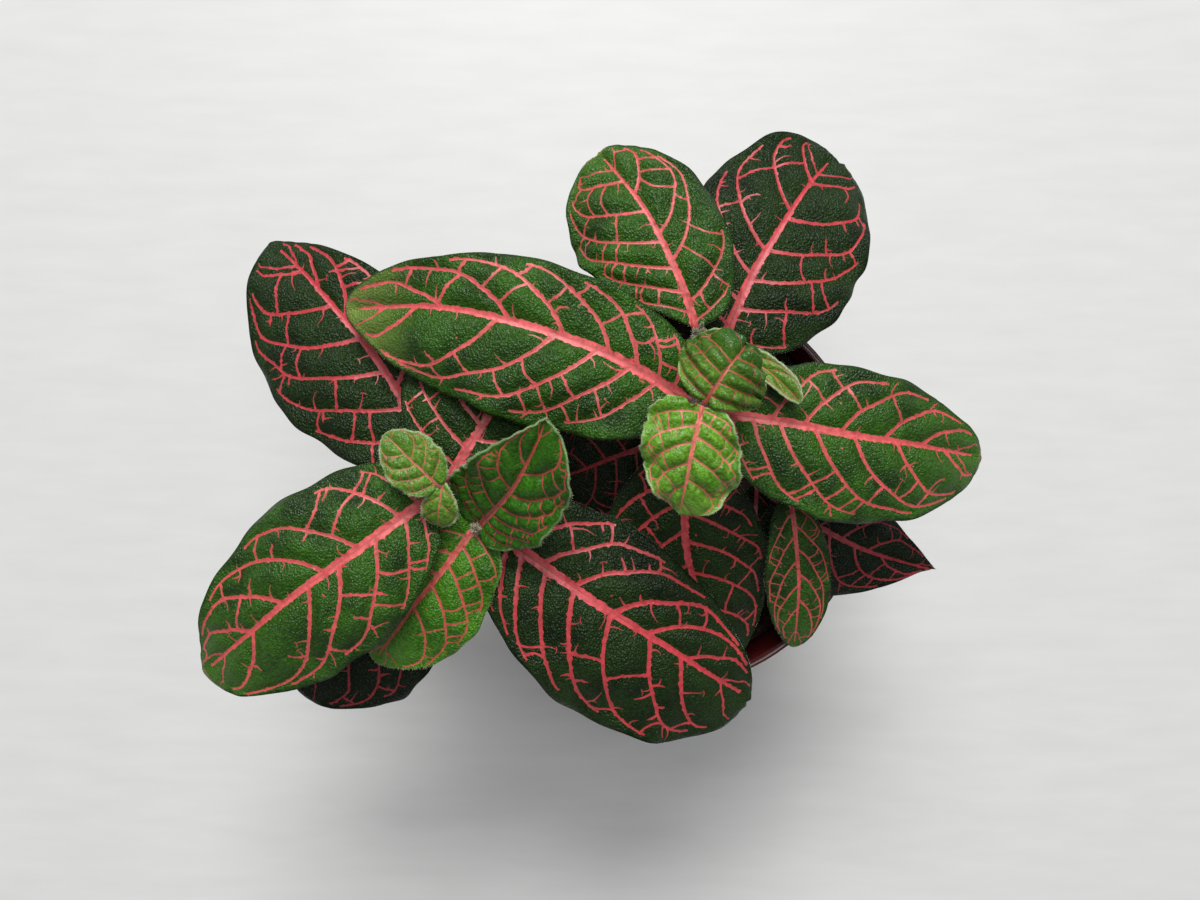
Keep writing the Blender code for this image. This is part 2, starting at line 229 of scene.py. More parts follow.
for k in range(TOP_RINGS):
    bpy.ops.mesh.inset(thickness=RING_STEP * MM)
bpy.ops.object.mode_set(mode="OBJECT")
for vertex in soil.data.vertices:
    if vertex.co.z > (SOIL_TOP - 0.7) * MM:
        lump = noise.fractal(vertex.co * 160, 1.0, 2.0, 4) * 0.9
        vertex.co.z = (SOIL_TOP - 0.6 + min(lump, 0.5)) * MM
deselect()
soil.select_set(True)
bpy.ops.object.shade_smooth_by_angle(angle=np.radians(50))

rng = np.random.default_rng(11)


def add_mesh(name, points, faces, materials, face_slots=None, smooth=True):
    """An object at the origin from points in millimetres."""
    mesh = bpy.data.meshes.new(name)
    mesh.from_pydata((np.asarray(points) * MM).tolist(), [], [list(map(int, f)) for f in faces])
    for made in materials:
        mesh.materials.append(made)
    if face_slots is not None:
        mesh.polygons.foreach_set("material_index", np.asarray(face_slots, np.int32))
    if smooth:
        mesh.shade_smooth()
    thing = bpy.data.objects.new(name, mesh)
    bpy.context.scene.collection.objects.link(thing)
    return thing


# Peat and bark: dull, nearly black when damp, with brown fibre showing through.
peat, tree, shader = new_material("damp_peat", Roughness=0.92, IOR=1.4)
place = add_node(tree, "TexCoord").outputs["Object"]
grain = add_node(tree, "TexNoise", {"Scale": 700.0, "Detail": 6.0}, {"Vector": place})
damp = add_node(tree, "ValToRGB", links={0: grain.outputs[0]}, stops=[
    (0.35, colour("0d0906")), (0.6, colour("2a1c12")), (0.78, colour("4a3524"))])
fibres = add_node(tree, "Bump", {"Strength": 0.8, "Distance": 0.0006},
                  {"Height": grain.outputs[0]})
feed(tree, shader, "Base Color", damp.outputs[0])
feed(tree, shader, "Normal", fibres.outputs[0])
perlite, tree, shader = new_material("perlite_grain", Roughness=0.8)
place = add_node(tree, "TexCoord").outputs["Object"]
grain = add_node(tree, "TexNoise", {"Scale": 1500.0}, {"Vector": place})
chalky = add_node(tree, "ValToRGB", links={0: grain.outputs[0]}, stops=[
    (0.3, colour("a39c8e")), (0.7, colour("dcd7cb"))])
feed(tree, shader, "Base Color", chalky.outputs[0])
soil.data.materials.clear()
soil.data.materials.append(peat)

deselect()
bpy.ops.mesh.primitive_ico_sphere_add(subdivisions=1, radius=1)
pebble = bpy.context.object
pebble_points = np.array([v.co for v in pebble.data.vertices])
pebble_faces = np.array([list(f.vertices) for f in pebble.data.polygons])
bpy.data.objects.remove(pebble)
points, faces, slots = [], [], []
for k in range(CRUMBS):
    far = CRUMBS_REACH * np.sqrt(rng.random())
    angle = rng.random() * 2 * np.pi
    size = rng.uniform(0.35, 1.3) * (1 + (rng.random() < 0.08))
    stretch = rng.uniform(0.5, 1.3, 3) * (1, 1, 0.7)
    turn = np.linalg.qr(rng.normal(size=(3, 3)))[0]
    turn *= np.sign(np.linalg.det(turn))
    crumb = (pebble_points * rng.uniform(0.8, 1.15, (len(pebble_points), 1)) * stretch * size) @ turn.T
    centre = (far * np.cos(angle), far * np.sin(angle), SOIL_TOP - 0.5 + size * 0.25)
    faces.append(pebble_faces + len(pebble_points) * k)
    points.append(crumb + centre)
    slots += [1 if rng.random() < PERLITE_SHARE else 0] * len(pebble_faces)
crumbs = add_mesh("soil_crumbs", np.vstack(points), np.vstack(faces), [peat, perlite], slots, False)
for piece in (soil, crumbs):
    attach(piece, "root")
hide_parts("soil")

# ================================================================ stems and shoots
# Soft, round, downy stems: two come out of the soil and three side shoots leave the axils.
# They are green with a brown-pink flush, and swell where each pair of leaves is joined on.
NODES = {
    "right_1": (6.9, 13.2, 90.0), "right_2": (5.7, 15.6, 102.0), "right_3": (4.7, 16.0, 112.0),
    "right_4": (4.1, 15.5, 127.0), "back_1": (4.6, 29.4, 113.0), "front_1": (19.5, 5.8, 86.0),
    "front_2": (24.3, 3.4, 94.0), "left_1": (-37.7, -5.9, 88.0), "left_2": (-42.7, -3.9, 99.0),
    "left_3": (-45.6, -0.4, 107.0), "left_4": (-44.4, 0.3, 114.0),
    "left_side_1": (-38.9, -7.4, 104.5),
}


def from_node(node, x, y, z):
    return np.array(NODES[node]) + (x, y, z)


def smooth_line(points, values, step):
    """A Catmull-Rom curve through points, with values eased along it, sampled every step mm."""
    points = np.asarray(points, float)
    ends = np.vstack([2 * points[0] - points[1], points, 2 * points[-1] - points[-2]])
    line, eased = [], []
    for k in range(len(points) - 1):
        a, b, c, d = ends[k:k + 4]
        count = max(2, int(np.ceil(np.linalg.norm(c - b) / step)))
        for q in np.arange(count) / count:
            line.append(0.5 * (2 * b + (c - a) * q + (2 * a - 5 * b + 4 * c - d) * q ** 2
                               + (3 * b - a - 3 * c + d) * q ** 3))
            eased.append(values[k] + (values[k + 1] - values[k]) * q)
    return np.array(line + [points[-1]]), np.array(eased + [values[-1]])


def tube(line, radii, sides):
    """Points and faces of a closed tube along a line, anticlockwise as seen from its far end."""
    line = np.asarray(line, float)
    along = np.gradient(line, axis=0)
    along /= np.linalg.norm(along, axis=1)[:, None]
    across = np.cross(along, (0.13, 1, 0.07))
    across /= np.linalg.norm(across, axis=1)[:, None]
    up = np.cross(along, across)
    turns = 2 * np.pi * np.arange(sides) / sides
    rings = (line[:, None] + np.asarray(radii)[:, None, None]
             * (np.cos(turns)[:, None] * across[:, None] + np.sin(turns)[:, None] * up[:, None]))
    faces = []
    for k in range(len(line) - 1):
        for i in range(sides):
            j = (i + 1) % sides
            faces.append((k * sides + i, k * sides + j, (k + 1) * sides + j, (k + 1) * sides + i))
    faces.append(tuple(range(sides))[::-1])
    faces.append(tuple(range((len(line) - 1) * sides, len(line) * sides)))
    return rings.reshape(-1, 3), faces


def down(roots, directions, length, thickness, rng):
    """Short hairs as four-faced spikes, one from each root."""
    roots = np.asarray(roots, float)
    count = len(roots)
    lean = directions + rng.normal(size=(count, 3)) * 0.28
    lean /= np.linalg.norm(lean, axis=1)[:, None]
    side = np.cross(lean, rng.normal(size=(count, 3)))
    side /= np.linalg.norm(side, axis=1)[:, None]
    other = np.cross(lean, side)
    tips = roots + lean * (length * rng.uniform(0.5, 1.2, count))[:, None]
    half = thickness / 2
    corners = [roots + side * half, roots - side * half * 0.5 + other * half * 0.87,
               roots - side * half * 0.5 - other * half * 0.87, tips]
    points = np.stack(corners, 1).reshape(-1, 3)
    first = 4 * np.arange(count)[:, None]
    faces = np.vstack([first + f for f in ((0, 1, 3), (1, 2, 3), (2, 0, 3), (0, 2, 1))])
    return points, faces


# Stem skin: moist green tissue under a fine pale down, flushed brown-pink in places.
stem_skin, tree, shader = new_material("downy_stem_skin", Roughness=0.55, IOR=1.42,
                                       Sheen_Weight=0.35, Sheen_Roughness=0.5)
place = add_node(tree, "TexCoord").outputs["Object"]
flush = add_node(tree, "TexNoise", {"Scale": 150.0, "Detail": 4.0}, {"Vector": place})
flushed = add_node(tree, "ValToRGB", links={0: flush.outputs[0]}, stops=[
    (0.3, colour("56602c")), (0.55, colour("7a6a3e")), (0.75, colour("9c5f4c"))])
ridges = add_node(tree, "TexNoise", {"Scale": 1300.0, "Detail": 3.0}, {"Vector": place})
ribbed = add_node(tree, "Bump", {"Strength": 0.5, "Distance": 0.0002},
                  {"Height": ridges.outputs[0]})
feed(tree, shader, "Base Color", flushed.outputs[0])
feed(tree, shader, "Normal", ribbed.outputs[0])
# Plant down: colourless hairs that look white where they stand against the light.
white_down, tree, shader = new_material("white_down", Roughness=0.5, IOR=1.5,
                                        Sheen_Weight=0.3)
place = add_node(tree, "TexCoord").outputs["Object"]
tuft = add_node(tree, "TexNoise", {"Scale": 400.0}, {"Vector": place})
whitened = add_node(tree, "ValToRGB", links={0: tuft.outputs[0]}, stops=[
    (0.3, colour("a9ad90")), (0.7, colour("dfe0d0"))])
feed(tree, shader, "Base Color", whitened.outputs[0])

STEM_FOOT = SOIL_TOP + GAP
STEM_SIDES = 14
HAIRS_PER_RING = 26
STEMS = {
    "stem_right": ([(2, 6, STEM_FOOT - 0.6), (2, 6, 72), (3, 8, 80), NODES["right_1"],
                    NODES["right_2"], NODES["right_3"], NODES["right_4"]],
                   [2.0, 2.0, 1.9, 1.8, 1.6, 1.5, 1.2]),
    "stem_left": ([(-16, -2, STEM_FOOT - 0.6), (-16, -2, 71), (-25, -2, 80), NODES["left_1"],
                   NODES["left_2"], NODES["left_3"], NODES["left_4"]],
                  [2.0, 2.0, 1.9, 1.8, 1.6, 1.5, 1.0]),
    "shoot_back": ([from_node("right_2", -0.6, 1.2, 2), from_node("right_2", -2, 8, 6),
                    NODES["back_1"], from_node("back_1", 0, 0.5, 3)], [1.2, 1.2, 1.1, 0.8]),
    "shoot_front": ([from_node("right_1", 0.8, -0.3, 2), from_node("right_1", 8, -4.5, 4.5),
                     NODES["front_1"], NODES["front_2"], from_node("front_2", 1.5, -0.5, 2)],
                    [1.2, 1.2, 1.2, 1.1, 0.8]),
    "shoot_left": ([from_node("left_2", 1.0, -0.9, 1.8), NODES["left_side_1"],
                    from_node("left_side_1", 0.3, -0.2, 3)], [1.2, 1.1, 0.8]),
}
joints = np.array(list(NODES.values()))
for name, (points, radii) in STEMS.items():
    line, radii = smooth_line(points, radii, 0.8)
    near = np.linalg.norm(line[:, None] - joints, axis=2).min(1)
    radii = radii * (0.93 + 0.22 * np.exp(-(near / 1.6) ** 2))
    radii[-1] *= 0.6
    points, faces = tube(line, radii, STEM_SIDES)
    stem = add_mesh(name + "_skin", points, faces, [stem_skin])
    count = len(line) * HAIRS_PER_RING
    picks = rng.integers(0, len(points), count)
    outward = points[picks] - line[picks // STEM_SIDES]
    outward /= np.linalg.norm(outward, axis=1)[:, None]
    hairs, spikes = down(points[picks] + rng.normal(size=(count, 3)) * 0.15 - outward * 0.1,
                         outward, 0.55, 0.07, rng)
    fuzz = add_mesh(name + "_down", hairs, spikes, [white_down], smooth=False)
    for piece in (stem, fuzz):
        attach(piece, "root")
    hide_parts(name)

# ================================================================ buds
# The growing tips of two shoots: tiny folded scale leaves, hidden in thick white down.
for name, foot, turn, bulk in (("bud_back", from_node("back_1", 0, 0.5, 2.6), 0.4, 1.0),
                               ("bud_left", from_node("left_side_1", 0.3, -0.2, 2.6), 1.5, 0.6)):
    points, faces, first = [], [], 0
    levels = np.linspace(0, 1, 9)
    for k in range(5):
        angle = turn + k * 2.4
        out = np.array([np.cos(angle), np.sin(angle), 0])
        lean = 0.25 + 0.16 * k * (k < 4)
        size = bulk * (1 - 0.12 * k)
        line = foot + np.outer(levels * 3.2 * size, (0, 0, 1)) \
            + np.outer(np.sin(levels * 1.5) * lean * 2.2 * bulk, out) + out * 0.3 * bulk
        part, skin = tube(line, 0.72 * size * np.sin(np.pi * (0.14 + 0.8 * levels)) ** 0.8, 10)
        faces += [tuple(np.array(f) + first) for f in skin]
        points.append(part)
        first += len(part)
    bud = add_mesh(name + "_scales", np.vstack(points), faces, [stem_skin])
    skin = np.vstack(points)
    picks = rng.integers(0, len(skin), 300)
    outward = skin[picks] - (foot + (0, 0, 1.2))
    outward /= np.linalg.norm(outward, axis=1)[:, None]
    hairs, spikes = down(skin[picks] - outward * 0.1, outward, 0.6 * bulk, 0.06, rng)
    fuzz = add_mesh(name + "_down", hairs, spikes, [white_down], smooth=False)
    for piece in (bud, fuzz):
        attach(piece, "root")
    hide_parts(name)

# ================================================================ leaves
# Soft oval leaves in opposite pairs, each on a short channelled stalk. The blade is about a
# third of a millimetre thick, quilted between a coral net of veins that sit a little sunken.
# Each leaf: its node and the distance of its foot from it, then
#   way     compass heading of the stalk and how much it turns by the tip
#   slope   slope at the foot and at the tip
#   size    lengths of stalk and blade, and the half widths left and right of the midrib
#   left    where the left half is widest, bluntness of its base and tip (smaller is rounder)
#   right   the same for the right half
#   bend    upward fold of the left and right halves, curl back down, ripple of the margin
#   roots   where the side veins of the left and of the right half leave the midrib
#   sweep   how far forward the side veins of the two halves reach
#   look    tone, share of cells closed by cross links, quilting height, seed
LEAVES = {
    "right_tip_low": dict(
        node="right_4", reach=-0.4, way=(-104, 8), slope=(12, -50), size=(0.2, 22.0, 9.8, 9.6),
        left=(0.55, 0.24, 0.62), right=(0.30, 0.14, 0.85), bend=(12, 12, 40, 1.4),
        roots=((0.03, 0.12, 0.25, 0.42, 0.62), (0.05, 0.16, 0.30, 0.48, 0.68)), sweep=(1.5, 1.5),
        look=("young", 1.0, 0.6, 1)),
    "right_tip_dome": dict(
        node="right_4", reach=0.5, way=(60, -12), slope=(35, -48), size=(1.0, 14.0, 11, 11),
        left=(0.5, 0.35, 0.45), right=(0.5, 0.35, 0.45), bend=(10, 10, 90, 0.7),
        roots=((0.06, 0.22, 0.4, 0.6), (0.1, 0.3, 0.5, 0.7)), sweep=(1.2, 1.2),
        look=("young_dome", 1.0, 1.0, 2)),
    "right_big_left": dict(
        node="right_3", reach=2.1, way=(146, 38), slope=(18, -32), size=(1.0, 73.5, 18.8, 12.5),
        left=(0.43, 0.42, 0.6), right=(0.40, 0.38, 0.55), bend=(8, 16, 30, 0.5),
        roots=((0.09, 0.17, 0.265, 0.38, 0.54, 0.77), (0.04, 0.09, 0.155, 0.235, 0.36, 0.51, 0.69)),
        sweep=(1.55, 1.15), look=("mid_tip", 0.9, 0.45, 3)),
    "right_big_right": dict(
        node="right_3", reach=1.9, way=(-10, 2), slope=(8, -36), size=(3.0, 58.0, 13, 17.5),
        left=(0.42, 0.5, 0.6), right=(0.45, 0.5, 0.5), bend=(10, 10, 30, 0.5),
        roots=((0.05, 0.16, 0.27, 0.40, 0.56, 0.71), (0.03, 0.10, 0.19, 0.31, 0.45, 0.61, 0.82)),
        sweep=(1.1, 1.6), look=("mid", 0.8, 0.45, 4)),
    "back_right": dict(
        node="right_2", reach=2.15, way=(74, -26), slope=(11, -29), size=(12.0, 49.2, 17.4, 20),
        left=(0.56, 0.5, 0.42), right=(0.48, 0.35, 0.36), bend=(6, 6, 25, 1.0),
        roots=((0.08, 0.19, 0.31, 0.43, 0.64, 0.82), (0.02, 0.16, 0.29, 0.435, 0.60, 0.81)),
        sweep=(1.35, 1.4), look=("old", 0.35, 0.4, 5)),
    "front_mid": dict(
        node="right_2", reach=2.35, way=(-104, 50), slope=(-15, -29), size=(5.0, 54.5, 17, 18),
        left=(0.5, 0.5, 0.6), right=(0.5, 0.5, 0.6), bend=(8, 8, 30, 0.5),
        roots=((0.06, 0.15, 0.26, 0.38, 0.52, 0.68), (0.04, 0.12, 0.22, 0.34, 0.48, 0.64)),
        sweep=(1.3, 1.3), look=("old", 0.5, 0.4, 6)),
    "right_low_dark": dict(
        node="right_1", reach=2.25, way=(-50, 40), slope=(1, -19), size=(20.0, 41.5, 11, 14),
        left=(0.4, 0.6, 1.05), right=(0.32, 0.5, 1.55), bend=(10, 10, 40, 0.5),
        roots=((0.06, 0.16, 0.28, 0.42, 0.58), (0.1, 0.22, 0.35, 0.5, 0.66)), sweep=(1.3, 1.3),
        look=("shaded", 0.6, 0.35, 7)),
    "centre_dark": dict(
        node="right_1", reach=2.8, way=(-159, 0), slope=(-3, -33), size=(5.0, 27.5, 14, 14),
        left=(0.5, 0.6, 0.7), right=(0.5, 0.6, 0.7), bend=(5, 5, 20, 0.3),
        roots=((0.1, 0.25, 0.42, 0.6), (0.14, 0.32, 0.5, 0.68)), sweep=(1.2, 1.2),
        look=("shaded", 0.5, 0.3, 8)),
    "side_bud_left": dict(
        node="back_1", reach=1.6, way=(105, 26), slope=(9, -27), size=(0.5, 41.0, 16.5, 12.7),
        left=(0.60, 0.6, 0.38), right=(0.46, 0.38, 0.6), bend=(4, 10, 36, 0.8),
        roots=((0.07, 0.17, 0.29, 0.43, 0.60, 0.79), (0.03, 0.12, 0.33, 0.47, 0.70)),
        sweep=(1.5, 1.7), look=("mid", 1.0, 0.6, 9)),
    "side_bud_right": dict(
        node="back_1", reach=1.7, way=(-18, -34), slope=(19, 3), size=(1.5, 20.5, 2.9, 2.7),
        left=(0.6, 0.6, 0.45), right=(0.6, 0.6, 0.45), bend=(30, 48, 20, 0.3),
        roots=((0.15, 0.35, 0.55), (0.2, 0.45, 0.65)), sweep=(1.5, 1.5),
        look=("young_grey", 0.4, 0.3, 10)),
    "front_narrow": dict(
        node="front_2", reach=1.7, way=(-79, -12), slope=(7, -43), size=(2.0, 38.0, 7, 7),
        left=(0.5, 0.6, 0.6), right=(0.5, 0.6, 0.6), bend=(5, 5, 20, 0.3),
        roots=((0.08, 0.2, 0.33, 0.48, 0.64), (0.13, 0.26, 0.4, 0.55, 0.7)), sweep=(1.7, 1.7),
        look=("mid", 0.9, 0.4, 11)),
    "front_sliver": dict(
        node="front_1", reach=1.8, way=(-91, 0), slope=(5, -25), size=(3.0, 26.0, 5, 5),
        left=(0.5, 0.6, 0.7), right=(0.5, 0.6, 0.7), bend=(5, 5, 20, 0.2),
        roots=((0.1, 0.28, 0.46, 0.64), (0.18, 0.36, 0.54)), sweep=(1.5, 1.5),
        look=("shaded", 0.6, 0.3, 12)),
    "left_tip_big": dict(
        node="left_4", reach=0.5, way=(133, 4), slope=(26, -14), size=(0.3, 14.6, 5.9, 5.5),
        left=(0.45, 0.4, 0.6), right=(0.45, 0.4, 0.6), bend=(10, 10, 30, 0.4),
        roots=((0.08, 0.24, 0.42, 0.62), (0.15, 0.33, 0.52)), sweep=(1.4, 1.4),
        look=("young_grey", 0.9, 0.4, 13)),
    "left_tip_small": dict(
        node="left_4", reach=-2.0, way=(-100, 0), slope=(14, -58), size=(0.2, 10.4, 3.8, 3.6),
        left=(0.62, 0.5, 0.5), right=(0.62, 0.5, 0.5), bend=(5, 5, 30, 0.4),
        roots=((0.15, 0.45), (0.3, 0.6)), sweep=(1.3, 1.3),
        look=("young_grey", 0.6, 0.25, 14)),
    "left_big_low": dict(
        node="left_3", reach=2.0, way=(-146, 6), slope=(14, -36), size=(0.8, 63.2, 18.0, 16.8),
        left=(0.48, 0.45, 0.55), right=(0.40, 0.36, 0.7), bend=(8, 8, 35, 0.6),
        roots=((0.03, 0.09, 0.20, 0.34, 0.46, 0.71), (0.03, 0.10, 0.26, 0.39, 0.56, 0.72)),
        sweep=(1.55, 1.35), look=("mid", 0.55, 0.5, 15)),
    "left_under_big": dict(
        node="left_3", reach=2.0, way=(58, 2), slope=(6, -24), size=(1.5, 49.5, 19.5, 15),
        left=(0.4, 0.45, 0.7), right=(0.4, 0.45, 0.7), bend=(8, 8, 30, 0.3),
        roots=((0.05, 0.13, 0.24, 0.38, 0.55), (0.08, 0.18, 0.31, 0.47, 0.64)), sweep=(1.3, 1.3),
        # Its tone is painted shade: the mid tone darkened for the shadow that right_big_left casts
        # over it.
        look=("mid_in_shade", 0.6, 0.45, 16)),
    "left_back_dark": dict(
        node="left_2", reach=2.75, way=(114, 26), slope=(7, -23), size=(1.5, 67.0, 23.0, 13.5),
        left=(0.56, 0.55, 0.5), right=(0.46, 0.55, 0.8), bend=(8, 8, 30, 0.8),
        roots=((0.06, 0.16, 0.28, 0.41, 0.54, 0.68, 0.84), (0.12, 0.24, 0.35, 0.47, 0.62, 0.76)),
        sweep=(1.35, 1.0), look=("old", 0.45, 0.4, 17)),
    "front_big_dark": dict(
        node="left_2", reach=2.35, way=(-34, 0), slope=(17, -33), size=(2.0, 71.5, 16.5, 22.5),
        left=(0.42, 0.5, 0.65), right=(0.56, 0.5, 0.45), bend=(6, 6, 30, 0.8),
        roots=((0.05, 0.14, 0.225, 0.335, 0.47, 0.585, 0.73),
               (0.07, 0.115, 0.165, 0.245, 0.34, 0.465, 0.60, 0.71)),
        sweep=(1.3, 1.05), look=("old", 0.35, 0.4, 18)),
    "left_low_dark": dict(
        node="left_1", reach=2.3, way=(-138, 0), slope=(8, -17), size=(10.0, 45.0, 17, 17),
        left=(0.55, 0.6, 0.6), right=(0.55, 0.6, 0.6), bend=(8, 8, 25, 0.5),
        roots=((0.08, 0.2, 0.34, 0.5, 0.66), (0.14, 0.27, 0.42, 0.58)), sweep=(1.3, 1.3),
        look=("shaded", 0.6, 0.35, 19)),
    "left_fold": dict(
        node="left_side_1", reach=0.3, way=(36, 36), slope=(53, 23), size=(0.5, 33.2, 10.5, 11),
        left=(0.28, 0.10, 0.85), right=(0.46, 0.36, 0.72), bend=(14, 14, 20, 0.9),
        roots=((0.04, 0.12, 0.25, 0.45, 0.66), (0.04, 0.11, 0.19, 0.29, 0.42, 0.6)),
        sweep=(1.7, 1.3), look=("young_dark", 0.8, 0.75, 20)),
    "left_bright_low": dict(
        node="left_side_1", reach=-1.2, way=(-128, 0), slope=(4, -36), size=(0.3, 39.2, 13, 10.5),
        left=(0.5, 0.3, 0.7), right=(0.42, 0.12, 0.7), bend=(8, 8, 25, 0.5),
        roots=((0.05, 0.14, 0.26, 0.4, 0.56), (0.09, 0.2, 0.33, 0.5)), sweep=(1.4, 1.4),
        look=("bright", 0.9, 0.45, 21)),
}
BLADE_THICKNESS = 0.35
COARSE = 1.0
# The net runs out to this share of the half width, and the keel along this share of the blade.
NET_EDGE = 0.965
KEEL_REACH = 0.62


def direction(leaf, q):
    """Forward, leftward and upward directions at the fraction q of the leaf's whole length."""
    (heading, turn), (climb, fall) = leaf["way"], leaf["slope"]
    rise = np.radians(climb + (fall - climb) * q)
    compass = np.radians(heading + turn * q)
    forward = np.stack([np.cos(rise) * np.cos(compass), np.cos(rise) * np.sin(compass),
                        np.sin(rise)], -1)
    left = np.stack([-np.sin(compass), np.cos(compass), 0 * compass], -1)
    return forward, left, np.cross(forward, left)


def midrib(leaf, distance):
    """Point on the leaf's centre line at a distance from its foot, with its directions."""
    whole = leaf["size"][0] + leaf["size"][1]
    steps = 160
    q = np.linspace(0, 1, steps + 1)
    forward, _, _ = direction(leaf, (q[1:] + q[:-1]) / 2)
    start = np.array(NODES[leaf["node"]], float)
    out = np.radians(leaf["way"][0])
    start[:2] += leaf["reach"] * np.array([np.cos(out), np.sin(out)])
    line = start + np.vstack([np.zeros(3), np.cumsum(forward * whole / steps, 0)])
    point = np.stack([np.interp(distance, q * whole, line[:, i]) for i in range(3)], -1)
    ends = direction(leaf, np.asarray(distance) / whole)
    beyond = np.where(distance > whole, distance - whole, np.minimum(distance, 0))
    return (point + beyond[..., None] * ends[0], *ends)


def half_width(leaf, s, side):
    """Half width in mm at the fraction s along the blade, on the side of the given sign."""
    s = np.clip(s, 0, 1)
    seed = leaf["look"][3]
    halves = []
    for half, (widest, base, tip) in ((leaf["size"][2], leaf["left"]),
                                      (leaf["size"][3], leaf["right"])):
        bell = np.clip(np.sin(np.pi * s ** (np.log(0.5) / np.log(widest))), 0, 1)
        halves.append(half * bell ** (base * (1 - s) + tip * s))
    uneven = 0.018 * np.sin(s * 19 + seed * 1.7 + side) + 0.012 * np.sin(s * 37 + seed * 2.9 - side)
    if leaf["look"][0].startswith("young"):
        uneven = 1.5 * uneven + 0.016 * np.sin(s * 75 + seed)
    return np.where(side >= 0, *halves) * (1 + uneven)


def blade_point(leaf, u, v):
    """Where the point u mm along and v mm across the flat blade lies on the living leaf."""
    stalk, length, left_half, right_half = leaf["size"]
    fold_left, fold_right, arch, wave = leaf["bend"]
    seed = leaf["look"][3]
    s = u / length
    middle, forward, left, up = midrib(leaf, stalk + u)
    across = np.abs(v)
    edge = half_width(leaf, s, np.sign(v))
    t = np.clip(across / np.maximum(edge, 0.3), 0, 1.05)
    rise = np.radians(np.where(v >= 0, fold_left, fold_right))
    curl = np.radians(arch) / ((left_half + right_half) / 2)
    side = (np.sin(rise) - np.sin(rise - curl * across)) / curl
    lift = (np.cos(rise - curl * across) - np.cos(rise)) / curl
    ripple = np.sin(2 * np.pi * (2.5 * s + np.where(v >= 0, 0.0, 0.37)))
    lift = lift + wave * np.clip(edge / 6, 0, 1) * t ** 2.5 * ripple
    lift = lift + 0.012 * length * np.sin(u * 0.21 + seed) * np.sin(v * 0.3 + seed * 2) * t
    return middle + (np.sign(v) * side)[..., None] * left + lift[..., None] * up


def blade_frame(leaf, u, v):
    """Points of the blade with their upward normals."""
    e = 0.05
    point = blade_point(leaf, u, v)
    normal = np.cross(blade_point(leaf, u + e, v) - blade_point(leaf, u - e, v),
                      blade_point(leaf, u, v + e) - blade_point(leaf, u, v - e))
    return point, normal / np.linalg.norm(normal, axis=1)[:, None]


def resample(line, step):
    """The same line with points every step mm."""
    run = np.concatenate([[0], np.cumsum(np.linalg.norm(np.diff(line, axis=0), axis=1))])
    count = max(2, int(round(run[-1] / step)) + 1)
    at = np.linspace(0, run[-1], count)
    return np.stack([np.interp(at, run, line[:, i]) for i in range(2)], -1)


def link(a, b, bow, rng, step):
    """A slightly bowed line from a to b in the flat blade."""
    q = np.linspace(0, 1, 9)[:, None]
    gap = b - a
    normal = np.array([-gap[1], gap[0]])
    kink = np.interp(q, [0, rng.uniform(0.3, 0.7), 1], [0, 1, 0])
    return resample(a + gap * q + normal * bow * np.sin(np.pi * q) + normal * 0.06 * kink, step)


def scale_of(leaf):
    """1 for a leaf of 1000 square millimetres of length times half width; veins grow with it."""
    _, length, left_half, right_half = leaf["size"]
    return np.sqrt((left_half + right_half) / 2 * length / 1000)


